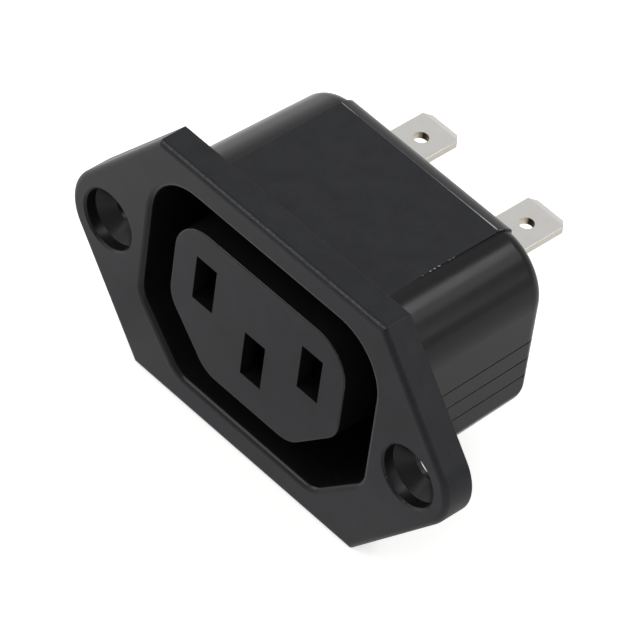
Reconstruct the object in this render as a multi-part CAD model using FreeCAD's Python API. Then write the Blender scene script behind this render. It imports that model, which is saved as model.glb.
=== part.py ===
import FreeCAD, Part
import math
import os

# Panel outlet: a moulded housing with a recessed mouth round a slotted tongue,
# and one folded contact with a push-on tab behind each slot.
# X runs along the fixing holes, Y from the face to the back, Z is up, in millimetres.
# The origin is the centre of the flange's back face, which seats on the panel.

# Slots in the tongue
slot_pitch = 14.0            # between the two upper slots
slot_row_height = 2.0        # upper slots above the centre, earth slot as far below
slot_width = 2.7
slot_height = 5.15
slot_plate = 1.8             # thickness of the tongue's front wall

# Contacts, folded from one strip
strip_thickness = 0.8
tab_width = 4.8
tab_rise = 3.2               # slot centre to the middle of the tab's thickness
tab_reach = 9.2              # tab beyond the back of the body
tab_corner_cut = 0.75
tab_lead_length = 0.6
tab_lead_depth = 0.18
tab_edge_radius = 0.1
tab_hole_diameter = 1.5
tab_hole_setback = 3.1       # hole centre to the tab's end
pin_thickness = 2.0
pin_grip = 0.08              # how far each leaf closes on the pin
leaf_height = 4.6
leaf_flare = 0.35
leaf_throat_setback = 2.5
leaf_free_length = 6.5
leaf_throat_radius = 3.0
root_gap = 2.6               # between the leaves where they join the bridge
bend_radius = 0.2            # inside of every fold
shoulder_depth = 7.0         # back of the body to the contact's stop
ear_gap = 0.1                # end ear behind the shorter leaf
barb_setback = 2.0           # stop to the barb
barb_length = 1.5
contact_clearance = 0.1
contact_front_gap = 1.4

# Tongue
tongue_side_wall = 1.75      # outside a contact pocket
tongue_top_wall = 2.3        # above the tabs
tongue_corner_cut = 5.6
tongue_top_radius = 4.0
tongue_low_radius = 3.4
tongue_edge_radius = 0.15
tongue_draft = 0.4           # degrees

# Mouth round the tongue
side_gap = 4.15
top_gap = 3.6
mouth_corner_cut = 6.1
mouth_top_radius = 6.05
mouth_low_radius = 3.4
mouth_edge_radius = 0.55
edge_flats = 4               # flats that make up the round of a keyed edge
recess_depth = 16.2

# Body behind the flange
body_side_wall = 0.57        # body outside the mouth's lip
body_top_wall = 0.36
body_top_radius = 5.58
back_wall = 4.0
body_draft = 1.15            # degrees
body_back_radius = 1.5
pad_width = 20.8             # raised flat on top, moulded without draft
pad_roll = 1.75              # end of the flat to the back of the body
pad_roll_tilt = 13.0         # degrees, where the roll leaves the flat
pad_roll_drop = 0.95
pad_roll_slope = 0.7         # share of the roll that keeps near its first slope
pad_roll_turn = 0.2          # share of the drop that turns into the back

# Fine ledges along both sides
ledge_count = 3
ledge_top = 1.45
ledge_pitch = 2.5
ledge_step = 0.03
ledge_groove_height = 0.14
ledge_groove_depth = 0.2

# Flange
flange_thickness = 3.2
flange_land = 2.57           # above and below the mouth
flange_flat = 29.4           # straight top and bottom edges
flange_edge_radius = 0.6
hole_land = 1.475            # between the mouth and a screw head's recess
tip_land = 1.78              # outside a screw head's recess
screw_hole_diameter = 3.5
head_recess_diameter = 6.25
head_recess_depth = 1.3
head_cone_angle = 90.0
head_rim_break = 0.22

# Working values
cut_over = 1.0               # how far a cutting shape runs past the body
same_place = 1e-4            # edges closer than this lie together
closed_gap = 1e-6            # ends closer than this need no line between them

# Worked-out sizes
tab_top = slot_row_height + tab_rise + strip_thickness / 2
pocket_half = tab_width / 2 + contact_clearance
root_half = root_gap / 2 + strip_thickness
tongue_half = slot_pitch / 2 + pocket_half + tongue_side_wall
tongue_top = tab_top + tongue_top_wall
mouth_half = tongue_half + side_gap
mouth_top = tongue_top + top_gap
body_half = mouth_half + body_side_wall
body_top = mouth_top + body_top_wall
front = -flange_thickness
recess_floor = front + recess_depth
body_back = recess_floor + back_wall
pocket_front = front + slot_plate
contact_front = pocket_front + contact_front_gap
contact_stop = body_back - shoulder_depth
tab_end = body_back + tab_reach
hole_x = mouth_half + hole_land + head_recess_diameter / 2
tip_radius = head_recess_diameter / 2 + tip_land
flange_top = mouth_top + flange_land
draft_slope = math.tan(math.radians(body_draft))
tongue_slope = math.tan(math.radians(tongue_draft))
cut_ease = 2 - math.sqrt(2)  # what a 45 degree corner loses as its sides draw in
along_y = FreeCAD.Vector(0, 1, 0)
along_z = FreeCAD.Vector(0, 0, 1)


def rounded_wire(corners, place):
    # Closed wire through (u, v, radius) corners, each rounded by a tangent arc.
    edges = []
    starts = []
    ends = []
    count = len(corners)
    for index, (u, v, radius) in enumerate(corners):
        here = FreeCAD.Vector(u, v, 0)
        before = FreeCAD.Vector(*corners[index - 1][:2], 0) - here
        after = FreeCAD.Vector(*corners[(index + 1) % count][:2], 0) - here
        before.normalize()
        after.normalize()
        half = before.getAngle(after) / 2
        reach = radius / math.tan(half)
        starts.append(here + before * reach)
        ends.append(here + after * reach)
        if radius > 0:
            bisector = before + after
            bisector.normalize()
            middle = here + bisector * (radius / math.sin(half) - radius)
            edges.append(Part.Arc(place(starts[-1]), place(middle), place(ends[-1])).toShape())
        else:
            edges.append(None)
    joined = []
    for index in range(count):
        if edges[index]:
            joined.append(edges[index])
        tail = place(ends[index])
        head = place(starts[(index + 1) % count])
        if tail.distanceToPoint(head) > closed_gap:
            joined.append(Part.makeLine(tail, head))
    return Part.Wire(joined)


def across(y):
    # Puts a wire's (u, v) in the X-Z plane at depth y.
    return lambda p: FreeCAD.Vector(p.x, y, p.y)


def level(z):
    # Puts a wire's (u, v) in the X-Y plane at height z.
    return lambda p: FreeCAD.Vector(p.x, p.y, z)


def socket_outline(half, top, cut, top_radius, low_radius, y):
    # The outlet's keyed outline: rounded top corners and cut-off bottom corners.
    return rounded_wire([
        (-half, top, top_radius),
        (half, top, top_radius),
        (half, cut - top, low_radius),
        (half - cut, -top, low_radius),
        (cut - half, -top, low_radius),
        (-half, cut - top, low_radius),
    ], across(y))


def box_between(low, high):
    size = [b - a for a, b in zip(low, high)]
    return Part.makeBox(*size, FreeCAD.Vector(*low))


def edges_at_depth(solid, y):
    # Edges that lie wholly in the plane at depth y.
    found = []
    for edge in solid.Edges:
        box = edge.BoundBox
        if abs(box.YMin - y) < same_place and abs(box.YMax - y) < same_place:
            found.append(edge)
    return found


def flange_plate():
    # Long hexagon whose slopes run tangent to the round tips at the screw holes.
    corner_x = flange_flat / 2
    run = FreeCAD.Vector(hole_x - corner_x, -flange_top, 0)
    turn = math.asin(tip_radius / run.Length)
    slope = math.atan2(run.y, run.x) + turn
    touch_x = hole_x - tip_radius * math.sin(slope)
    touch_z = tip_radius * math.cos(slope)
    points = {}
    for sx in (-1, 1):
        for sz in (-1, 1):
            points["corner", sx, sz] = FreeCAD.Vector(sx * corner_x, front, sz * flange_top)
            points["touch", sx, sz] = FreeCAD.Vector(sx * touch_x, front, sz * touch_z)
        points["tip", sx] = FreeCAD.Vector(sx * (hole_x + tip_radius), front, 0)
    edges = [Part.makeLine(points["corner", -1, 1], points["corner", 1, 1])]
    edges.append(Part.makeLine(points["corner", 1, 1], points["touch", 1, 1]))
    edges.append(Part.Arc(points["touch", 1, 1], points["tip", 1], points["touch", 1, -1]).toShape())
    edges.append(Part.makeLine(points["touch", 1, -1], points["corner", 1, -1]))
    edges.append(Part.makeLine(points["corner", 1, -1], points["corner", -1, -1]))
    edges.append(Part.makeLine(points["corner", -1, -1], points["touch", -1, -1]))
    edges.append(Part.Arc(points["touch", -1, -1], points["tip", -1], points["touch", -1, 1]).toShape())
    edges.append(Part.makeLine(points["touch", -1, 1], points["corner", -1, 1]))
    plate = Part.Face(Part.Wire(edges)).extrude(along_y * flange_thickness)
    return plate.makeFillet(flange_edge_radius, edges_at_depth(plate, front))


def screw_hole(side):
    # Through hole, cone and straight recess for a countersunk head, turned round its axis.
    hole = screw_hole_diameter / 2
    head = head_recess_diameter / 2
    cone_start = front + head_recess_depth
    cone_end = cone_start + (head - hole) / math.tan(math.radians(head_cone_angle / 2))
    profile = [
        (0, front),
        (head + head_rim_break, front),
        (head, front + head_rim_break),
        (head, cone_start),
        (hole, cone_end),
        (hole, 0),
        (0, 0),
    ]
    wire = Part.makePolygon([FreeCAD.Vector(x, y, 0) for x, y in profile + profile[:1]])
    turned = Part.Face(wire).revolve(FreeCAD.Vector(), along_y, 360)
    turned.translate(FreeCAD.Vector(side * hole_x, 0, 0))
    return turned


def body_root():
    # The outline of body and pad carried forward through the flange to the face.
    outline = socket_outline(body_half, body_top, mouth_corner_cut, body_top_radius, mouth_low_radius, front)
    block = Part.Face(outline).extrude(along_y * flange_thickness)
    return block.fuse(box_between((-pad_width / 2, front, 0), (pad_width / 2, 0, body_top))).removeSplitter()


def body_block(inset):
    # Drafted block behind the flange with its back edge rounded, drawn in by inset.
    depth = body_back - inset
    sections = []
    for y in (0, depth):
        less = inset + draft_slope * y
        sections.append(socket_outline(body_half - less, body_top - less, mouth_corner_cut,
                                       body_top_radius - inset, mouth_low_radius - inset, y))
    block = Part.makeLoft(sections, True, True)
    return block.makeFillet(body_back_radius - inset, edges_at_depth(block, depth))


def raised_pad():
    # Undrafted flat on top that breaks into a roll over the back edge.
    tilt = math.radians(pad_roll_tilt)
    reach = pad_roll * pad_roll_slope
    flat_end = body_back - pad_roll
    roll_end = body_top - pad_roll_drop
    side = [
        (0, 0),
        (0, body_top),
        (flat_end, body_top),
        (flat_end + reach * math.cos(tilt), body_top - reach * math.sin(tilt)),
        (body_back, roll_end + pad_roll_drop * pad_roll_turn),
        (body_back, roll_end),
        (body_back, 0),
    ]
    points = [FreeCAD.Vector(-pad_width / 2, y, z) for y, z in side]
    roll = Part.BezierCurve()
    roll.setPoles(points[2:6])
    edges = [Part.makeLine(points[0], points[1])]
    edges.append(Part.makeLine(points[1], points[2]))
    edges.append(roll.toShape())
    edges.append(Part.makeLine(points[5], points[6]))
    edges.append(Part.makeLine(points[6], points[0]))
    return Part.Face(Part.Wire(edges)).extrude(FreeCAD.Vector(pad_width, 0, 0))


def side_ledges():
    # What the fine ledges take off both sides: small steps, each under a narrow groove.
    reach = body_half + cut_over
    back_edge = body_half - draft_slope * body_back - body_back_radius
    core = body_block(ledge_groove_depth)
    cuts = []
    for side in (-1, 1):
        for index in range(ledge_count):
            height = ledge_top - index * ledge_pitch
            groove_x = sorted((side * back_edge, side * reach))
            groove = box_between((groove_x[0], 0, height - ledge_groove_height),
                                 (groove_x[1], body_back + cut_over, height))
            cuts.append(groove.cut(core))
            edge = body_half - (index + 1) * ledge_step
            plan = [(edge, 0), (reach, 0), (reach, body_back), (edge - draft_slope * body_back, body_back)]
            low = -body_top if index == ledge_count - 1 else height - ledge_pitch
            wire = Part.makePolygon([FreeCAD.Vector(side * x, y, low) for x, y in plan + plan[:1]])
            cuts.append(Part.Face(wire).extrude(along_z * (height - low)))
    return cuts


def edge_round(radius):
    # Depth and sideways travel along a quarter round made of flats.
    places = []
    for index in range(edge_flats + 1):
        angle = math.pi / 2 * index / edge_flats
        places.append((radius * (1 - math.cos(angle)), radius * math.sin(angle)))
    return places


def stacked(wires):
    # One solid through a rounded edge's outlines and on to the last one.
    edge = Part.makeLoft(wires[:-1], True, True)
    return edge.fuse(Part.makeLoft(wires[-2:], True, True))


def tongue_column():
    # The tongue and its root through the back wall: drafted, with a softened front edge.
    length = body_back - front
    wires = []
    for depth, out in edge_round(tongue_edge_radius) + [(length, tongue_edge_radius)]:
        less = tongue_edge_radius - out
        more = tongue_slope * depth - less
        wires.append(socket_outline(tongue_half + more, tongue_top + more, tongue_corner_cut - less * cut_ease,
                                    tongue_top_radius - less, tongue_low_radius - less, front + depth))
    return stacked(wires)


def mouth_well():
    # The well round the tongue: a rounded lip, then drafted walls.
    wires = []
    for depth, less in edge_round(mouth_edge_radius) + [(recess_depth, mouth_edge_radius)]:
        inward = less + draft_slope * depth
        wires.append(socket_outline(mouth_half - inward, mouth_top - inward, mouth_corner_cut - less * cut_ease,
                                    mouth_top_radius - less, mouth_low_radius - less, front + depth))
    return stacked(wires)


def contact_pocket(x, up):
    # Slot and stepped pocket for one contact; up is 1 for the upper row and -1 for the earth.
    middle = up * slot_row_height
    slot_low = middle - slot_height / 2
    slot = box_between((x - slot_width / 2, front, slot_low), (x + slot_width / 2, pocket_front, slot_low + slot_height))
    narrow = root_half + contact_clearance
    clip_low, clip_high = sorted((middle - up * slot_height / 2, up * tab_top))
    clip_room = box_between((x - narrow, pocket_front, clip_low), (x + narrow, contact_stop, clip_high))
    tab_low, tab_high = sorted((middle - up * leaf_height / 2, up * tab_top))
    tab_room = box_between((x - pocket_half, contact_stop, tab_low), (x + pocket_half, body_back, tab_high))
    return slot.fuse([clip_room, tab_room])


def contact(x, up):
    # One folded contact: two gripping leaves under a bridge that runs out as the tab.
    throat = pin_thickness / 2 - pin_grip
    middle = slot_row_height
    leaf_low = middle - leaf_height / 2
    root_start = contact_front + leaf_free_length
    plate_low = tab_top - strip_thickness
    pieces = []

    # Both leaves in plan; one side turns in behind the other as the ear that stops the pin
    ear_front = contact_stop - strip_thickness
    short_end = ear_front - ear_gap
    ends = {
        1: [(root_gap / 2, ear_front, bend_radius), (-root_half, ear_front, 0), (-root_half, contact_stop, 0),
            (root_half, contact_stop, bend_radius + strip_thickness)],
        -1: [(root_gap / 2, short_end, 0), (root_half, short_end, 0)],
    }
    for side, end in ends.items():
        inner = [
            (throat + leaf_flare, contact_front, 0),
            (throat, contact_front + leaf_throat_setback, leaf_throat_radius),
            (root_gap / 2, root_start, leaf_throat_radius),
        ]
        outer = []
        for u, v, radius in reversed(inner):
            outer.append((u + strip_thickness, v, radius))
        corners = [(side * u, v, radius) for u, v, radius in inner + end + outer]
        strip = Part.Face(rounded_wire(corners, level(leaf_low)))
        pieces.append(strip.extrude(along_z * leaf_height))

    # Fold that carries both sides up into the bridge
    fold = Part.Face(rounded_wire([
        (-root_half, leaf_low, 0),
        (-root_half, tab_top, bend_radius + strip_thickness),
        (root_half, tab_top, bend_radius + strip_thickness),
        (root_half, leaf_low, 0),
        (root_gap / 2, leaf_low, 0),
        (root_gap / 2, plate_low, bend_radius),
        (-root_gap / 2, plate_low, bend_radius),
        (-root_gap / 2, leaf_low, 0),
    ], across(root_start)))
    side_back = ear_front - bend_radius
    pieces.append(fold.extrude(along_y * (side_back - root_start)))

    # Bridge and tab, with barbs that hold in the pocket
    neck = root_half - strip_thickness - bend_radius
    half = tab_width / 2
    barb = contact_stop + barb_setback
    right = [
        (neck, root_start),
        (neck, contact_stop),
        (half, contact_stop),
        (half, barb),
        (pocket_half, barb + barb_length),
        (half, barb + barb_length),
        (half, tab_end - tab_corner_cut),
        (half - tab_corner_cut, tab_end),
    ]
    left = [(-u, v) for u, v in reversed(right)]
    plan = Part.Face(rounded_wire([(u, v, 0) for u, v in right + left], level(plate_low)))
    plate = plan.extrude(along_z * strip_thickness)
    rolled = []
    for edge in plate.Edges:
        box = edge.BoundBox
        beyond_barb = box.YMin > barb + barb_length - same_place and box.YLength > tab_reach / 2
        if beyond_barb and abs(abs(box.Center.x) - half) < same_place:
            rolled.append(edge)
    plate = plate.makeFillet(tab_edge_radius, rolled)
    hole = Part.makeCylinder(tab_hole_diameter / 2, strip_thickness,
                             FreeCAD.Vector(0, tab_end - tab_hole_setback, plate_low), along_z)
    plate = plate.cut(hole)
    for face, inward in ((tab_top, -1), (plate_low, 1)):
        lead = [
            (tab_end - tab_lead_length, face),
            (tab_end, face),
            (tab_end, face + inward * tab_lead_depth),
        ]
        wedge = Part.makePolygon([FreeCAD.Vector(-half, y, z) for y, z in lead + lead[:1]])
        plate = plate.cut(Part.Face(wedge).extrude(FreeCAD.Vector(tab_width, 0, 0)))
    pieces.append(plate)

    made = pieces[0].fuse(pieces[1:]).removeSplitter()
    if up < 0:
        made = made.mirror(FreeCAD.Vector(), along_z)
    made.translate(FreeCAD.Vector(x, 0, 0))
    return made


# Flange, housing and tongue are one moulding, kept as three solids that meet face to face.


def flange():
    # The plate round the body, whose back face is the seat on the panel.
    cuts = [body_root()]
    for side in (-1, 1):
        cuts.append(screw_hole(side))
    return flange_plate().cut(cuts).removeSplitter()


def housing():
    # Mouth, side walls and back wall, with room for the root of the tongue.
    cuts = [mouth_well(), tongue_column()] + side_ledges()
    return body_block(0).fuse([raised_pad(), body_root()]).cut(cuts).removeSplitter()


def tongue():
    # A slot and a pocket for each contact.
    pockets = [contact_pocket(x, up) for x, up in contact_places.values()]
    return tongue_column().cut(pockets).removeSplitter()


contact_places = {
    "line_contact": (slot_pitch / 2, 1),
    "neutral_contact": (-slot_pitch / 2, 1),
    "earth_contact": (0, -1),
}

os.makedirs("parts", exist_ok=True)
flange().exportStep("parts/flange.step")
housing().exportStep("parts/housing.step")
tongue().exportStep("parts/tongue.step")
for name, (x, up) in contact_places.items():
    contact(x, up).exportStep("parts/" + name + ".step")
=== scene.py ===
import bpy
import bmesh
import math
import random
from mathutils import Matrix, Vector


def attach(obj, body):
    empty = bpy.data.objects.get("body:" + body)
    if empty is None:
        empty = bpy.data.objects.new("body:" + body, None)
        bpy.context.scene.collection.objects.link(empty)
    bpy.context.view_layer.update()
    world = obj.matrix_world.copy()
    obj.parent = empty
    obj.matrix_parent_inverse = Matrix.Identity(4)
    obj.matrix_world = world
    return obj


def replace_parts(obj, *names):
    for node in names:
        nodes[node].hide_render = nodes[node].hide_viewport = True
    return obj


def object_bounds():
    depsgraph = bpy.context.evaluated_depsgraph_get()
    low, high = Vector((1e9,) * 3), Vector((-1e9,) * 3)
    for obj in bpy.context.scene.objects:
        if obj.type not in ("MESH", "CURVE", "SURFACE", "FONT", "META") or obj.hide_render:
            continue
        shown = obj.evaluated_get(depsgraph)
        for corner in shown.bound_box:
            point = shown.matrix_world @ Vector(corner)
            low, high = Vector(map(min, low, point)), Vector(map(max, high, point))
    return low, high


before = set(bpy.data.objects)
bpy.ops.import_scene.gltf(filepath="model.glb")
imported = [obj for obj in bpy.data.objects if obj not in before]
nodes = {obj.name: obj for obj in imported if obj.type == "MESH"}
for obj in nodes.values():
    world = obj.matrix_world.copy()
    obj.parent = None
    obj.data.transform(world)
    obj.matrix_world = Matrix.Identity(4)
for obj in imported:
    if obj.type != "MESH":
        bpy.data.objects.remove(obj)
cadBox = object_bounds()
mm = 0.001
joinWithin = 0.00001        # points of a node's mesh this close are one
noiseSpread = (0.3, 0.7)    # where nearly all of a noise texture's values lie
polyamideIor = 1.53
print("frame loaded:", ", ".join(sorted(nodes)))


def linear(hexColour):
    # sRGB hex to the linear colour the shaders want
    channels = []
    for place in (1, 3, 5):
        value = int(hexColour[place:place + 2], 16) / 255
        channels.append(value / 12.92 if value <= 0.04045 else ((value + 0.055) / 1.055) ** 2.4)
    return (*channels, 1.0)


def addNode(tree, kind, settings=None, feeds=None):
    # one node, its settings, and what goes into its sockets
    node = tree.nodes.new(kind)
    for name, value in (settings or {}).items():
        setattr(node, name, value)
    for socket, value in (feeds or {}).items():
        if isinstance(value, bpy.types.NodeSocket):
            tree.links.new(value, node.inputs[socket])
        else:
            node.inputs[socket].default_value = value
    return node


def newMaterial(name):
    material = bpy.data.materials.new(name)
    material.use_nodes = True
    material.node_tree.nodes.clear()
    return material, material.node_tree


def perSize(millimetres):
    # noise scale whose grains are about this wide
    return 1 / (millimetres * mm)


# Where the tool was textured: the face, the flange's rim and the raised pad
zoneSet = {
    "face": -3.19,          # what lies in front of this is the face
    "holeX": 20.0,
    "holeRadius": 3.2,
    "padHalf": 10.39,
    "padFloor": 11.8,
    "padEnd": 15.24,
}


def flangeZone(tree, axes):
    # satin all over except in the screw holes
    z = zoneSet
    across = addNode(tree, "ShaderNodeMath", {"operation": "ABSOLUTE"}, {0: axes[0]})
    offHole = addNode(tree, "ShaderNodeMath", {"operation": "SUBTRACT"}, {
        0: across.outputs[0], 1: z["holeX"] * mm})
    spot = addNode(tree, "ShaderNodeCombineXYZ", {}, {0: offHole.outputs[0], 2: axes[2]})
    reach = addNode(tree, "ShaderNodeVectorMath", {"operation": "LENGTH"}, {0: spot.outputs[0]})
    outside = addNode(tree, "ShaderNodeMath", {"operation": "GREATER_THAN"}, {
        0: reach.outputs["Value"], 1: z["holeRadius"] * mm})
    return outside.outputs[0]


def faceZone(tree, axes):
    # satin on the face alone
    onFace = addNode(tree, "ShaderNodeMath", {"operation": "LESS_THAN"}, {
        0: axes[1], 1: zoneSet["face"] * mm})
    return onFace.outputs[0]


def housingZone(tree, axes):
    # satin on the face's inner rim and on the raised pad
    z = zoneSet
    across = addNode(tree, "ShaderNodeMath", {"operation": "ABSOLUTE"}, {0: axes[0]})
    within = addNode(tree, "ShaderNodeMath", {"operation": "LESS_THAN"}, {
        0: across.outputs[0], 1: z["padHalf"] * mm})
    above = addNode(tree, "ShaderNodeMath", {"operation": "GREATER_THAN"}, {
        0: axes[2], 1: z["padFloor"] * mm})
    before = addNode(tree, "ShaderNodeMath", {"operation": "LESS_THAN"}, {
        0: axes[1], 1: z["padEnd"] * mm})
    onTop = addNode(tree, "ShaderNodeMath", {"operation": "MULTIPLY"}, {
        0: within.outputs[0], 1: above.outputs[0]})
    onPad = addNode(tree, "ShaderNodeMath", {"operation": "MULTIPLY"}, {
        0: onTop.outputs[0], 1: before.outputs[0]})
    either = addNode(tree, "ShaderNodeMath", {"operation": "MAXIMUM"}, {
        0: onPad.outputs[0], 1: faceZone(tree, axes)})
    return either.outputs[0]


# Glass-filled polyamide. Against a spark-eroded tool it comes out satin, finely grained and a
# little mottled; against polished steel it is blacker, with a soft gloss and faint flow marks.
# The rounds at the front are painted paler in specks where they face the light, partly handling wear and
# partly painted highlight.
polyamideSet = {
    "satinDark": "#101115",
    "satinLight": "#1f2026",
    "glossDark": "#121213",
    "glossLight": "#171719",
    # the paler colour of worn rounds and corners, also used as painted highlight
    "wearAndGlint": "#606065",
    "wearGlintShare": 0.0,
    "specular": 0.3,
    "satinRough": (0.31, 0.43),
    "glossRough": (0.18, 0.23),
    "grain": 0.16,          # real grain is near 0.04, drawn coarser so that it shows
    "mottle": 2.4,
    "mottleFrom": (0.7, 1.3),
    "speck": 0.2,
    "speckFrom": (0.36, 0.7),
    "glintFacingY": -0.5,       # the normal's y where the painted highlight on the rounds centres, half turned from the face
    "glintSpread": 0.2,
    "sideGlintFrom": (0.1, 0.4),
    "sideGlintShare": 1.0,       # painted highlight on rounds that face sideways, against those on top
    "creaseAt": -1.7,       # sharp corners of the flange's rim are painted paler too, partly wear and partly painted highlight
    "creaseReach": 1.2,
    "creaseTurn": (0.99, 0.93),
    "creaseShare": 0.0,
    "edge": 0.07,           # corners are eased this much, and the lip round the mouth more
    "lip": 0.07,
    "lipFrom": -2.65,
    "lipTo": -2.6,
    "easeSamples": 8,
    "satinBump": 0.45,
    "glossBump": 0.04,
    "bumpDepth": 0.02,
}


def makePolyamide(name, s, satinZone):
    material, tree = newMaterial(name)
    place = addNode(tree, "ShaderNodeTexCoord").outputs["Object"]
    axes = addNode(tree, "ShaderNodeSeparateXYZ", {}, {0: place})
    normal = addNode(tree, "ShaderNodeNewGeometry").outputs["Normal"]
    facing = addNode(tree, "ShaderNodeSeparateXYZ", {}, {0: normal})
    satin = satinZone(tree, axes.outputs)

    # colour of the bare plastic
    grain = addNode(tree, "ShaderNodeTexNoise", {}, {
        "Vector": place, "Scale": perSize(s["grain"]), "Detail": 2.0, "Roughness": 0.6})
    mottle = addNode(tree, "ShaderNodeTexNoise", {}, {
        "Vector": place, "Scale": perSize(s["mottle"]), "Detail": 4.0, "Roughness": 0.6})
    mottled = addNode(tree, "ShaderNodeMath", {}, {0: mottle.outputs["Fac"], 1: grain.outputs["Fac"]})
    tone = addNode(tree, "ShaderNodeMapRange", {}, {
        "Value": mottled.outputs[0], "From Min": s["mottleFrom"][0], "From Max": s["mottleFrom"][1]})
    satinColour = addNode(tree, "ShaderNodeMix", {"data_type": "RGBA"}, {
        0: tone.outputs[0], 6: linear(s["satinDark"]), 7: linear(s["satinLight"])})
    glossColour = addNode(tree, "ShaderNodeMix", {"data_type": "RGBA"}, {
        0: mottle.outputs["Fac"], 6: linear(s["glossDark"]), 7: linear(s["glossLight"])})
    colour = addNode(tree, "ShaderNodeMix", {"data_type": "RGBA"}, {
        0: satin, 6: glossColour.outputs[2], 7: satinColour.outputs[2]})

    # eased corners, but not on the face, which runs on from node to node
    edge = addNode(tree, "ShaderNodeMapRange", {}, {
        "Value": axes.outputs[1], "From Min": s["lipFrom"] * mm, "From Max": s["lipTo"] * mm,
        "To Min": s["lip"] * mm, "To Max": s["edge"] * mm})
    soft = addNode(tree, "ShaderNodeBevel", {"samples": s["easeSamples"]}, {"Radius": edge.outputs[0]})
    onFace = addNode(tree, "ShaderNodeMath", {"operation": "LESS_THAN"}, {
        0: axes.outputs[1], 1: zoneSet["face"] * mm})
    smooth = addNode(tree, "ShaderNodeMix", {"data_type": "VECTOR"}, {
        0: onFace.outputs[0], 4: soft.outputs[0], 5: normal})

    # paler paint, partly wear and partly painted highlight: an even band on the rim's sharp corners, and
    # specks on the rounds that face the light
    turned = addNode(tree, "ShaderNodeVectorMath", {"operation": "DOT_PRODUCT"}, {
        0: soft.outputs[0], 1: normal})
    onCrease = addNode(tree, "ShaderNodeMapRange", {}, {
        "Value": turned.outputs["Value"], "From Min": s["creaseTurn"][0], "From Max": s["creaseTurn"][1]})
    onSide = addNode(tree, "ShaderNodeMath", {"operation": "COMPARE"}, {
        0: axes.outputs[1], 1: s["creaseAt"] * mm, 2: s["creaseReach"] * mm})
    sideCrease = addNode(tree, "ShaderNodeMath", {"operation": "MULTIPLY"}, {
        0: onCrease.outputs[0], 1: onSide.outputs[0]})
    offRound = addNode(tree, "ShaderNodeMath", {"operation": "SUBTRACT"}, {
        0: facing.outputs[1], 1: s["glintFacingY"]})
    offBy = addNode(tree, "ShaderNodeMath", {"operation": "ABSOLUTE"}, {0: offRound.outputs[0]})
    onRound = addNode(tree, "ShaderNodeMapRange", {}, {
        "Value": offBy.outputs[0], "From Min": s["glintSpread"], "From Max": s["glintSpread"] / 2})
    sideways = addNode(tree, "ShaderNodeMath", {"operation": "ABSOLUTE"}, {0: facing.outputs[0]})
    onTop = addNode(tree, "ShaderNodeMapRange", {}, {
        "Value": sideways.outputs[0], "From Min": s["sideGlintFrom"][0], "From Max": s["sideGlintFrom"][1],
        "To Min": 1.0, "To Max": s["sideGlintShare"]})
    topRound = addNode(tree, "ShaderNodeMath", {"operation": "MULTIPLY"}, {
        0: onRound.outputs[0], 1: onTop.outputs[0]})
    speck = addNode(tree, "ShaderNodeTexNoise", {}, {
        "Vector": place, "Scale": perSize(s["speck"]), "Detail": 1.0, "Roughness": 0.5})
    inSpeck = addNode(tree, "ShaderNodeMapRange", {}, {
        "Value": speck.outputs["Fac"], "From Min": s["speckFrom"][0], "From Max": s["speckFrom"][1],
        "To Max": s["wearGlintShare"]})
    roundGlintSpecks = addNode(tree, "ShaderNodeMath", {"operation": "MULTIPLY"}, {
        0: topRound.outputs[0], 1: inSpeck.outputs[0]})
    wearAndGlint = addNode(tree, "ShaderNodeMath", {"operation": "MULTIPLY_ADD"}, {
        0: sideCrease.outputs[0], 1: s["creaseShare"], 2: roundGlintSpecks.outputs[0]})
    wornAndGlinting = addNode(tree, "ShaderNodeMix", {"data_type": "RGBA"}, {
        0: wearAndGlint.outputs[0], 6: colour.outputs[2], 7: linear(s["wearAndGlint"])})

    # finish
    satinRough = addNode(tree, "ShaderNodeMapRange", {}, {
        "Value": grain.outputs["Fac"], "From Min": noiseSpread[0], "From Max": noiseSpread[1],
        "To Min": s["satinRough"][0], "To Max": s["satinRough"][1]})
    glossRough = addNode(tree, "ShaderNodeMapRange", {}, {
        "Value": mottle.outputs["Fac"], "From Min": noiseSpread[0], "From Max": noiseSpread[1],
        "To Min": s["glossRough"][0], "To Max": s["glossRough"][1]})
    rough = addNode(tree, "ShaderNodeMix", {"data_type": "FLOAT"}, {
        0: satin, 2: glossRough.outputs[0], 3: satinRough.outputs[0]})
    bumpPower = addNode(tree, "ShaderNodeMapRange", {}, {
        "Value": satin, "To Min": s["glossBump"], "To Max": s["satinBump"]})
    bump = addNode(tree, "ShaderNodeBump", {}, {
        "Height": grain.outputs["Fac"], "Strength": bumpPower.outputs[0],
        "Distance": s["bumpDepth"] * mm, "Normal": smooth.outputs[1]})
    shader = addNode(tree, "ShaderNodeBsdfPrincipled", {}, {
        "Base Color": wornAndGlinting.outputs[2], "Roughness": rough.outputs[0], "IOR": polyamideIor,
        "Specular IOR Level": s["specular"], "Normal": bump.outputs[0]})
    addNode(tree, "ShaderNodeOutputMaterial", {}, {"Surface": shader.outputs[0]})
    return material


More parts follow.
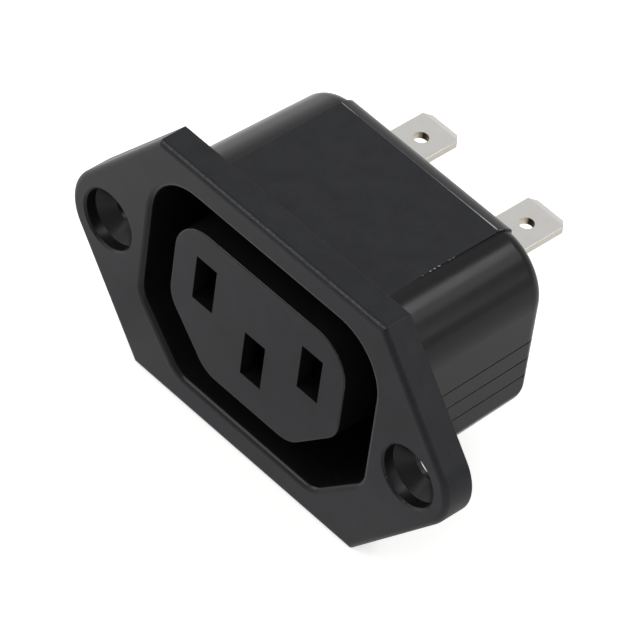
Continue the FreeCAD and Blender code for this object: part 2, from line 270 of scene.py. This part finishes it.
# Brass strip, stamped and tin plated: pale warm grey, nearly matt, faint rolling lines along the
# tab; the punched hole and the sheared sides show the yellower brass, the hole's wall painted pale as a
# highlight on one side and brown as painted shade on the rest, and the leaves inside are painted dark as
# painted shade
tinSet = {
    "dark": "#e2e0db",
    "light": "#eeece8",
    "sheared": "#efeae1",
    "bevelled": "#edebe7",
    "bevelFacing": 0.1,     # the bevelled end turns to the back by more than this
    # the punched hole's wall: a painted highlight on one side, painted shade on the rest
    "holeHighlight": "#fff4e2",
    "markTone": "#7a6a54",
    # the leaves inside the body, painted dark as painted shade
    "leaf": "#2b2319",
    # the strip in front of this is painted dark as painted shade
    "leafShadeBefore": 14.0,
    "rough": (0.42, 0.54),
    "line": 0.25,
    "stretch": 14.0,
    "cloud": 1.2,
    "tabX": {"line_contact": 7.0, "neutral_contact": -7.0, "earth_contact": 0.0},
    "tabHalf": 2.37,
    "holeY": 23.1,
    "holeRadius": 0.77,
    "shadeFrom": -0.42,      # across the hole, from the tab's middle, where the painted highlight turns to painted shade
    "shadeTo": -0.35,
    "edge": 0.05,
    "easeSamples": 4,
    "bump": 0.12,
    "bumpDepth": 0.01,
}


def makeTinPlate(s, tabX):
    material, tree = newMaterial("tin-plated brass")
    place = addNode(tree, "ShaderNodeTexCoord").outputs["Object"]
    axes = addNode(tree, "ShaderNodeSeparateXYZ", {}, {0: place})
    normal = addNode(tree, "ShaderNodeNewGeometry").outputs["Normal"]
    facing = addNode(tree, "ShaderNodeSeparateXYZ", {}, {0: normal})

    # where the strip was bevelled, sheared and punched, which side of the hole is painted as highlight and
    # which as shade, and where the leaves inside are painted dark as painted shade
    onBevel = addNode(tree, "ShaderNodeMath", {"operation": "GREATER_THAN"}, {
        0: facing.outputs[1], 1: s["bevelFacing"]})
    fromMiddle = addNode(tree, "ShaderNodeMath", {"operation": "SUBTRACT"}, {
        0: axes.outputs[0], 1: tabX * mm})
    across = addNode(tree, "ShaderNodeMath", {"operation": "ABSOLUTE"}, {0: fromMiddle.outputs[0]})
    onSide = addNode(tree, "ShaderNodeMath", {"operation": "GREATER_THAN"}, {
        0: across.outputs[0], 1: s["tabHalf"] * mm})
    fromHole = addNode(tree, "ShaderNodeMath", {"operation": "SUBTRACT"}, {
        0: axes.outputs[1], 1: s["holeY"] * mm})
    spot = addNode(tree, "ShaderNodeCombineXYZ", {}, {0: across.outputs[0], 1: fromHole.outputs[0]})
    reach = addNode(tree, "ShaderNodeVectorMath", {"operation": "LENGTH"}, {0: spot.outputs[0]})
    inHole = addNode(tree, "ShaderNodeMath", {"operation": "LESS_THAN"}, {
        0: reach.outputs["Value"], 1: s["holeRadius"] * mm})
    shadedSide = addNode(tree, "ShaderNodeMapRange", {}, {
        "Value": fromMiddle.outputs[0], "From Min": s["shadeFrom"] * mm, "From Max": s["shadeTo"] * mm})
    inside = addNode(tree, "ShaderNodeMath", {"operation": "LESS_THAN"}, {
        0: axes.outputs[1], 1: s["leafShadeBefore"] * mm})

    # colours, laid over one another
    cloud = addNode(tree, "ShaderNodeTexNoise", {}, {
        "Vector": place, "Scale": perSize(s["cloud"]), "Detail": 3.0, "Roughness": 0.6})
    plated = addNode(tree, "ShaderNodeMix", {"data_type": "RGBA"}, {
        0: cloud.outputs["Fac"], 6: linear(s["dark"]), 7: linear(s["light"])})
    bevelled = addNode(tree, "ShaderNodeMix", {"data_type": "RGBA"}, {
        0: onBevel.outputs[0], 6: plated.outputs[2], 7: linear(s["bevelled"])})
    sheared = addNode(tree, "ShaderNodeMix", {"data_type": "RGBA"}, {
        0: onSide.outputs[0], 6: bevelled.outputs[2], 7: linear(s["sheared"])})
    # the hole's wall: painted highlight on one side, painted shade on the rest
    holeWall = addNode(tree, "ShaderNodeMix", {"data_type": "RGBA"}, {
        0: shadedSide.outputs[0], 6: linear(s["holeHighlight"]), 7: linear(s["markTone"])})
    punched = addNode(tree, "ShaderNodeMix", {"data_type": "RGBA"}, {
        0: inHole.outputs[0], 6: sheared.outputs[2], 7: holeWall.outputs[2]})
    # the leaves inside painted dark as painted shade
    coloured = addNode(tree, "ShaderNodeMix", {"data_type": "RGBA"}, {
        0: inside.outputs[0], 6: punched.outputs[2], 7: linear(s["leaf"])})

    # finish
    drawn = addNode(tree, "ShaderNodeMapping", {}, {"Vector": place, "Scale": (1, 1 / s["stretch"], 1)})
    lines = addNode(tree, "ShaderNodeTexNoise", {}, {
        "Vector": drawn.outputs[0], "Scale": perSize(s["line"]), "Detail": 3.0, "Roughness": 0.6})
    rough = addNode(tree, "ShaderNodeMapRange", {}, {
        "Value": lines.outputs["Fac"], "From Min": noiseSpread[0], "From Max": noiseSpread[1],
        "To Min": s["rough"][0], "To Max": s["rough"][1]})
    soft = addNode(tree, "ShaderNodeBevel", {"samples": s["easeSamples"]}, {"Radius": s["edge"] * mm})
    bump = addNode(tree, "ShaderNodeBump", {}, {
        "Height": lines.outputs["Fac"], "Strength": s["bump"], "Distance": s["bumpDepth"] * mm,
        "Normal": soft.outputs[0]})
    shader = addNode(tree, "ShaderNodeBsdfPrincipled", {}, {
        "Base Color": coloured.outputs[2], "Metallic": 1.0, "Roughness": rough.outputs[0],
        "Normal": bump.outputs[0]})
    addNode(tree, "ShaderNodeOutputMaterial", {}, {"Surface": shader.outputs[0]})
    return material


def dress(node, material):
    for slot in node.material_slots:
        slot.material = material


bodySet = {**polyamideSet, "lip": 0.22}
polishedBody = makePolyamide("polished polyamide body", bodySet, housingZone)
dress(nodes["housing"], polishedBody)
flangeSet = {
    **polyamideSet,
    "wearGlintShare": 0.34,
    "sideGlintShare": 0.1,
    "creaseShare": 0.3,
    "glossRough": (0.3, 0.38),      # the screw holes are duller than the body
}
satinFlange = makePolyamide("satin polyamide flange", flangeSet, flangeZone)
dress(nodes["flange"], satinFlange)
tongueSet = {**polyamideSet, "wearGlintShare": 0.55}
satinTongue = makePolyamide("satin-faced polyamide tongue", tongueSet, faceZone)
dress(nodes["tongue"], satinTongue)
for name, tabX in tinSet["tabX"].items():
    dress(nodes[name], makeTinPlate(tinSet, tabX))
print("materials on", len(nodes), "nodes")


def addPiece(name, mesh, material):
    # an object at the origin, riding with the body
    mesh.materials.clear()
    mesh.materials.append(material)
    piece = bpy.data.objects.new(name, mesh)
    bpy.context.scene.collection.objects.link(piece)
    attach(piece, "root")
    return piece


def smoothMesh(name, bm):
    bmesh.ops.recalc_face_normals(bm, faces=bm.faces)
    mesh = bpy.data.meshes.new(name)
    bm.to_mesh(mesh)
    bm.free()
    for face in mesh.polygons:
        face.use_smooth = True
    return mesh


def redraw(node, name, material, shift):
    # the node's own mesh, joined up, with some of its points shifted, in the node's place
    mesh = nodes[node].data.copy()
    mesh.name = name
    shading = mesh.attributes.new("shading", "FLOAT_VECTOR", "CORNER")      # keeps the node's own normals
    for kept, corner in zip(shading.data, mesh.corner_normals):
        kept.vector = corner.vector
    bm = bmesh.new()
    bm.from_mesh(mesh)
    bmesh.ops.remove_doubles(bm, verts=bm.verts, dist=joinWithin * mm)
    for vert in bm.verts:
        vert.co += shift(vert.co / mm) * mm
    bm.to_mesh(mesh)
    bm.free()
    shading = mesh.attributes["shading"]
    mesh.normals_split_custom_set([kept.vector for kept in shading.data])
    mesh.attributes.remove(shading)
    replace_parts(addPiece(name, mesh, material), node)


# The screw holes open out slightly at the flange's back, so that light shows past their rims
boreSet = {
    "x": 20.0,
    "radius": 1.75,
    "flared": 1.86,
    "near": 0.01,
}


def boreShift(spot):
    s = boreSet
    off = Vector((spot.x - math.copysign(s["x"], spot.x), 0.0, spot.z))
    onRim = abs(off.length - s["radius"]) < s["near"] and abs(spot.y) < s["near"]
    return off * (s["flared"] / s["radius"] - 1) if onRim else Vector()


# The ledges on the body's side walls sit higher and closer than in the solid
ledgeSet = {
    "solidTop": 1.45,
    "solidPitch": 2.5,
    "solidGroove": 0.14,
    "top": 1.87,
    "pitch": 2.22,
    "groove": 0.19,
    "count": 3,
    "wallFrom": 13.0,       # ledges lie further out than this
    "near": 0.01,
}


def ledgeShift(spot):
    s = ledgeSet
    if abs(spot.x) < s["wallFrom"]:
        return Vector()
    for index in range(s["count"]):
        solid = s["solidTop"] - index * s["solidPitch"]
        rise = s["top"] - index * s["pitch"] - solid
        if abs(spot.z - solid) < s["near"]:
            return Vector((0.0, 0.0, rise))
        if abs(spot.z - solid + s["solidGroove"]) < s["near"]:
            return Vector((0.0, 0.0, rise + s["solidGroove"] - s["groove"]))
    return Vector()


# The slots open a little higher in the tongue's face than in the solid
slotSet = {
    "centres": ((-7.0, 2.0), (7.0, 2.0), (0.0, -2.0)),
    "halfWidth": 1.35,
    "halfHeight": 2.575,
    "rise": 0.17,
    "near": 0.01,
}


def slotShift(spot):
    s = slotSet
    if spot.y > zoneSet["face"]:
        return Vector()
    for x, z in s["centres"]:
        within = abs(spot.x - x) < s["halfWidth"] + s["near"]
        if within and abs(spot.z - z) < s["halfHeight"] + s["near"]:
            return Vector((0.0, 0.0, s["rise"]))
    return Vector()


# Flash squeezed out at the tool's joints: black and glossy where whole, whitened where it was
# rubbed or torn off, and paler along the back edge bead as a painted highlight for its glint. How pale it
# is, is kept on each of its points.
flashSet = {
    "whole": "#121214",
    "markTone": "#b4b4b8",
    "specular": 0.3,
    "rough": (0.16, 0.3),
    "fleck": 0.12,
    "fleckFrom": (0.35, 0.65),
    "patchy": 0.35,
    "bump": 0.1,
    "bumpDepth": 0.01,
}


def makeFlash(s):
    material, tree = newMaterial("whitened polyamide flash with painted glint")
    place = addNode(tree, "ShaderNodeTexCoord").outputs["Object"]
    paleShare = addNode(tree, "ShaderNodeAttribute", {"attribute_name": "paleShare"})
    fleck = addNode(tree, "ShaderNodeTexNoise", {}, {
        "Vector": place, "Scale": perSize(s["fleck"]), "Detail": 2.0, "Roughness": 0.6})
    patch = addNode(tree, "ShaderNodeMapRange", {}, {
        "Value": fleck.outputs["Fac"], "From Min": s["fleckFrom"][0], "From Max": s["fleckFrom"][1],
        "To Min": 1 - s["patchy"], "To Max": 1 + s["patchy"]})
    markTone = addNode(tree, "ShaderNodeMath", {"operation": "MULTIPLY", "use_clamp": True}, {
        0: paleShare.outputs["Fac"], 1: patch.outputs[0]})
    colour = addNode(tree, "ShaderNodeMix", {"data_type": "RGBA"}, {
        0: markTone.outputs[0], 6: linear(s["whole"]), 7: linear(s["markTone"])})
    rough = addNode(tree, "ShaderNodeMapRange", {}, {
        "Value": fleck.outputs["Fac"], "From Min": noiseSpread[0], "From Max": noiseSpread[1],
        "To Min": s["rough"][0], "To Max": s["rough"][1]})
    bump = addNode(tree, "ShaderNodeBump", {}, {
        "Height": fleck.outputs["Fac"], "Strength": s["bump"], "Distance": s["bumpDepth"] * mm})
    shader = addNode(tree, "ShaderNodeBsdfPrincipled", {}, {
        "Base Color": colour.outputs[2], "Roughness": rough.outputs[0], "IOR": polyamideIor,
        "Specular IOR Level": s["specular"], "Normal": bump.outputs[0]})
    addNode(tree, "ShaderNodeOutputMaterial", {}, {"Surface": shader.outputs[0]})
    return material


# Bead of flash along the pad's back edge, fuller and paler towards both ends; its paleness is a painted
# highlight that stands in for its glint
beadSet = {
    "y": 15.24,
    "z": 11.86,
    "sunk": 0.3,            # share of its radius
    "along": (
        # x, radius, how pale
        (-10.3, 0.02, 0.6),
        (-10.1, 0.05, 0.6),
        (-8.9, 0.045, 0.5),
        (-8.0, 0.04, 0.16),
        (0.0, 0.04, 0.16),
        (6.0, 0.055, 0.42),
        (10.0, 0.075, 1.0),
        (10.24, 0.02, 1.0),
    ),
    "step": 0.5,
    "sides": 12,
    "jitter": 0.1,
    "seed": 7,
}


def makeBead(s, material):
    dice = random.Random(s["seed"])
    stations = []
    for start, end in zip(s["along"], s["along"][1:]):
        steps = max(1, round((end[0] - start[0]) / s["step"]))
        for index in range(steps):
            stations.append(Vector(start).lerp(Vector(end), index / steps))
    stations.append(Vector(s["along"][-1]))
    bm = bmesh.new()
    paleShares = bm.verts.layers.float.new("paleShare")
    turn = Matrix.Rotation(math.pi / 2, 4, "Y")
    ring = None
    for index, (x, radius, paleShare) in enumerate(stations):
        radius *= 1 + s["jitter"] * dice.uniform(-1, 1)
        spot = Vector((x, s["y"], s["z"] - s["sunk"] * radius)) * mm
        made = bmesh.ops.create_circle(bm, cap_ends=index in (0, len(stations) - 1), segments=s["sides"],
                                       radius=radius * mm, matrix=Matrix.Translation(spot) @ turn)
        for vert in made["verts"]:
            vert[paleShares] = paleShare
        corners = set(made["verts"])
        loop = [edge for edge in bm.edges if edge.verts[0] in corners and edge.verts[1] in corners]
        if ring:
            bmesh.ops.bridge_loops(bm, edges=ring + loop)
        ring = loop
    addPiece("back_edge_bead", smoothMesh("back_edge_bead", bm), material)


# Trimmed flash: crumbs left along the pad's seams, at its back corner and round a screw hole
crumbSet = {
    "seed": 21,
    "crumbs": (
        # x, y, z, then width, length along y and height, then how pale
        (10.40, 5.85, 11.85, 0.07, 0.22, 0.05, 0.4),
        (10.40, 6.80, 11.85, 0.08, 0.30, 0.06, 0.8),
        (10.40, 7.32, 11.85, 0.08, 0.26, 0.06, 0.9),
        (10.40, 7.85, 11.85, 0.08, 0.32, 0.06, 0.8),
        (10.40, 9.15, 11.85, 0.06, 0.40, 0.05, 0.35),
        (10.40, 9.65, 11.85, 0.06, 0.34, 0.05, 0.4),
        (10.36, 15.42, 11.84, 0.08, 0.10, 0.07, 0.6),
        (10.40, 15.66, 11.78, 0.08, 0.10, 0.10, 0.6),
        (17.66, -3.17, -2.04, 0.14, 0.08, 0.20, 0.12),
        (20.16, -3.17, -3.08, 0.22, 0.08, 0.14, 0.12),
    ),
    "facets": 2,
    "rough": 0.1,           # share of a crumb's size
    "lean": 0.25,
}


def makeCrumbs(s, material):
    dice = random.Random(s["seed"])
    bm = bmesh.new()
    paleShares = bm.verts.layers.float.new("paleShare")
    for x, y, z, width, length, height, paleShare in s["crumbs"]:
        size = Vector((width, length, height)) * mm
        lean = Matrix.Rotation(dice.uniform(-s["lean"], s["lean"]), 4, "Z")
        spot = Matrix.Translation(Vector((x, y, z)) * mm)
        # a ball one across, stretched to size and roughened
        made = bmesh.ops.create_icosphere(bm, subdivisions=s["facets"], radius=0.5,
                                          matrix=spot @ lean @ Matrix.Diagonal((*size, 1.0)))
        for vert in made["verts"]:
            vert[paleShares] = paleShare
            vert.co += Vector([dice.uniform(-s["rough"], s["rough"]) * side for side in size])
    addPiece("flash_crumbs", smoothMesh("flash_crumbs", bm), material)


redraw("flange", "flared_flange", satinFlange, boreShift)
redraw("housing", "ledged_body", polishedBody, ledgeShift)
redraw("tongue", "slotted_tongue", satinTongue, slotShift)
print("moulding redrawn")
whitenedGlintFlash = makeFlash(flashSet)
makeBead(beadSet, whitenedGlintFlash)
makeCrumbs(crumbSet, whitenedGlintFlash)
print("flash added")

# Studio: a pale floor under the flange, with a painted glow on it that only reflections see, soft boxes
# round it, white all about for reflections
studio = {
    "floorSize": 3.0,
    "floorGap": 0.02,               # keeps the floor's plane clear of the flange's edge
    "floorTone": "#e6e6e4",
    "cameraLift": 0.6,
    "glossLift": (0.3, 0.0),        # painted glow that only reflections see, at the floor's left, at its right
    "glossReach": (-42.0, -6.0),
    "underLift": 0.27,              # painted glow that only reflections see, on the floor under the part
    "underAt": (0.0, 4.5, 0.0),
    "underX": (16.0, 20.0),
    "underY": (10.5, 19.0),
    "ambient": 0.7,
    "tentLeft": 1.35,
    "tentRight": 0.55,
    "tentSides": (-0.6, 0.8),
    "tentHigh": 0.47,
    "tentFrom": 0.2,
    "tentTo": 0.8,
    "tentDepth": ((-0.8, 0.45), (-0.4, 1.0), (0.6, 1.0), (0.8, 0.65)),     # front to back
}
lamps = {
    "backBox": {"toward": (0.14, 0.53, 0.83), "away": 0.6, "size": 0.15, "glow": 2.5},
    "backFill": {"toward": (0.40, 0.53, 0.75), "away": 0.6, "size": 0.22, "glow": 0.9},
    "frontBox": {"toward": (-0.47, -0.50, 0.72), "away": 0.55, "size": 0.3, "glow": 1.5},
    "leftPanel": {"toward": (-0.95, -0.30, 0.08), "away": 0.6, "size": 0.3, "glow": 0.5},
    "rightPanel": {"toward": (0.80, 0.38, 0.46), "away": 0.6, "size": 0.28, "glow": 0.72},
}


def makeFloor(s):
    bm = bmesh.new()
    bmesh.ops.create_grid(bm, x_segments=1, y_segments=1, size=s["floorSize"] / 2)
    bmesh.ops.translate(bm, verts=bm.verts, vec=(0, 0, cadBox[0].z - s["floorGap"] * mm))
    mesh = bpy.data.meshes.new("floor")
    bm.to_mesh(mesh)
    bm.free()
    floor = bpy.data.objects.new("floor", mesh)
    bpy.context.scene.collection.objects.link(floor)
    material, tree = newMaterial("pale studio floor")
    path = addNode(tree, "ShaderNodeLightPath")
    mirrored = addNode(tree, "ShaderNodeMath", {"operation": "MAXIMUM"}, {
        0: path.outputs["Is Glossy Ray"], 1: path.outputs["Is Transmission Ray"]})
    place = addNode(tree, "ShaderNodeTexCoord").outputs["Object"]
    axes = addNode(tree, "ShaderNodeSeparateXYZ", {}, {0: place})
    # painted glow that only reflections see: paler to the floor's left and on the floor under the part
    paler = addNode(tree, "ShaderNodeMapRange", {}, {
        "Value": axes.outputs[0], "From Min": s["glossReach"][0] * mm, "From Max": s["glossReach"][1] * mm,
        "To Min": s["glossLift"][0], "To Max": s["glossLift"][1]})
    fromUnder = addNode(tree, "ShaderNodeVectorMath", {"operation": "SUBTRACT"}, {
        0: place, 1: Vector(s["underAt"]) * mm})
    offUnder = addNode(tree, "ShaderNodeVectorMath", {"operation": "ABSOLUTE"}, {0: fromUnder.outputs[0]})
    off = addNode(tree, "ShaderNodeSeparateXYZ", {}, {0: offUnder.outputs[0]})
    underX = addNode(tree, "ShaderNodeMapRange", {}, {
        "Value": off.outputs[0], "From Min": s["underX"][0] * mm, "From Max": s["underX"][1] * mm,
        "To Min": s["underLift"], "To Max": 0.0})
    underY = addNode(tree, "ShaderNodeMapRange", {}, {
        "Value": off.outputs[1], "From Min": s["underY"][0] * mm, "From Max": s["underY"][1] * mm,
        "To Min": 1.0, "To Max": 0.0})
    shown = addNode(tree, "ShaderNodeMath", {"operation": "MULTIPLY_ADD"}, {
        0: underX.outputs[0], 1: underY.outputs[0], 2: paler.outputs[0]})
    gloss = addNode(tree, "ShaderNodeMath", {"operation": "MULTIPLY"}, {
        0: mirrored.outputs[0], 1: shown.outputs[0]})
    lift = addNode(tree, "ShaderNodeMath", {"operation": "MULTIPLY_ADD"}, {
        0: path.outputs["Is Camera Ray"], 1: s["cameraLift"], 2: gloss.outputs[0]})
    matte = addNode(tree, "ShaderNodeBsdfDiffuse", {}, {"Color": linear(s["floorTone"])})
    glow = addNode(tree, "ShaderNodeEmission", {}, {"Strength": lift.outputs[0]})
    both = addNode(tree, "ShaderNodeAddShader", {}, {0: matte.outputs[0], 1: glow.outputs[0]})
    addNode(tree, "ShaderNodeOutputMaterial", {}, {"Surface": both.outputs[0]})
    mesh.materials.append(material)


def makeWorld(s):
    world = bpy.data.worlds.new("studio")
    world.use_nodes = True
    tree = world.node_tree
    tree.nodes.clear()
    path = addNode(tree, "ShaderNodeLightPath")
    shiny = addNode(tree, "ShaderNodeMath", {"operation": "MAXIMUM"}, {
        0: path.outputs["Is Glossy Ray"], 1: path.outputs["Is Transmission Ray"]})
    way = addNode(tree, "ShaderNodeSeparateXYZ", {}, {
        0: addNode(tree, "ShaderNodeTexCoord").outputs["Generated"]})
    low = addNode(tree, "ShaderNodeMapRange", {}, {
        "Value": way.outputs[0], "From Min": s["tentSides"][0], "From Max": s["tentSides"][1],
        "To Min": s["tentLeft"], "To Max": s["tentRight"]})
    tent = addNode(tree, "ShaderNodeMapRange", {}, {
        "Value": way.outputs[2], "From Min": s["tentFrom"], "From Max": s["tentTo"],
        "To Min": low.outputs[0], "To Max": s["tentHigh"]})
    depth = addNode(tree, "ShaderNodeMapRange", {}, {
        "Value": way.outputs[1], "From Min": -1.0, "From Max": 1.0})
    ramp = addNode(tree, "ShaderNodeValToRGB", {}, {0: depth.outputs[0]})
    stops = ramp.color_ramp.elements
    while len(stops) < len(s["tentDepth"]):
        stops.new(1.0)
    for stop, (y, share) in zip(stops, s["tentDepth"]):
        stop.position = (y + 1) / 2
        stop.color = (share, share, share, 1.0)
    shaped = addNode(tree, "ShaderNodeMath", {"operation": "MULTIPLY"}, {
        0: tent.outputs[0], 1: ramp.outputs[0]})
    mirrored = addNode(tree, "ShaderNodeMix", {"data_type": "FLOAT"}, {
        0: shiny.outputs[0], 2: s["ambient"], 3: shaped.outputs[0]})
    level = addNode(tree, "ShaderNodeMix", {"data_type": "FLOAT"}, {
        0: path.outputs["Is Camera Ray"], 2: mirrored.outputs[0], 3: 1.0})
    air = addNode(tree, "ShaderNodeBackground", {}, {"Color": (1, 1, 1, 1), "Strength": level.outputs[0]})
    addNode(tree, "ShaderNodeOutputWorld", {}, {"Surface": air.outputs[0]})
    bpy.context.scene.world = world


def makeLamp(name, s):
    toward = Vector(s["toward"]).normalized()
    light = bpy.data.lights.new(name, "AREA")
    light.shape = "SQUARE"
    light.size = s["size"]
    light.energy = 4 * s["size"] ** 2 * s["glow"]      # watts for a face this bright
    lamp = bpy.data.objects.new(name, light)
    lamp.location = toward * s["away"]
    lamp.rotation_euler = toward.to_track_quat("Z", "Y").to_euler()
    lamp.visible_camera = False
    bpy.context.scene.collection.objects.link(lamp)


makeFloor(studio)
makeWorld(studio)
for name, settings in lamps.items():
    makeLamp(name, settings)
print("studio set")

# Camera at the photograph's angle
cameraSet = {
    "place": (235.482, -261.599, 350.194),
    "turn": (45.0097, -5.9591, 47.3747),
    "lens": 311.889,
    "sensor": 36.0,
}
cameraData = bpy.data.cameras.new("camera")
cameraData.sensor_width = cameraSet["sensor"]
cameraData.lens = cameraSet["lens"]
camera = bpy.data.objects.new("camera", cameraData)
camera.location = Vector(cameraSet["place"]) * mm
camera.rotation_euler = [math.radians(angle) for angle in cameraSet["turn"]]
bpy.context.scene.collection.objects.link(camera)
bpy.context.scene.camera = camera
bpy.context.scene.view_settings.view_transform = "Standard"
print("camera set")
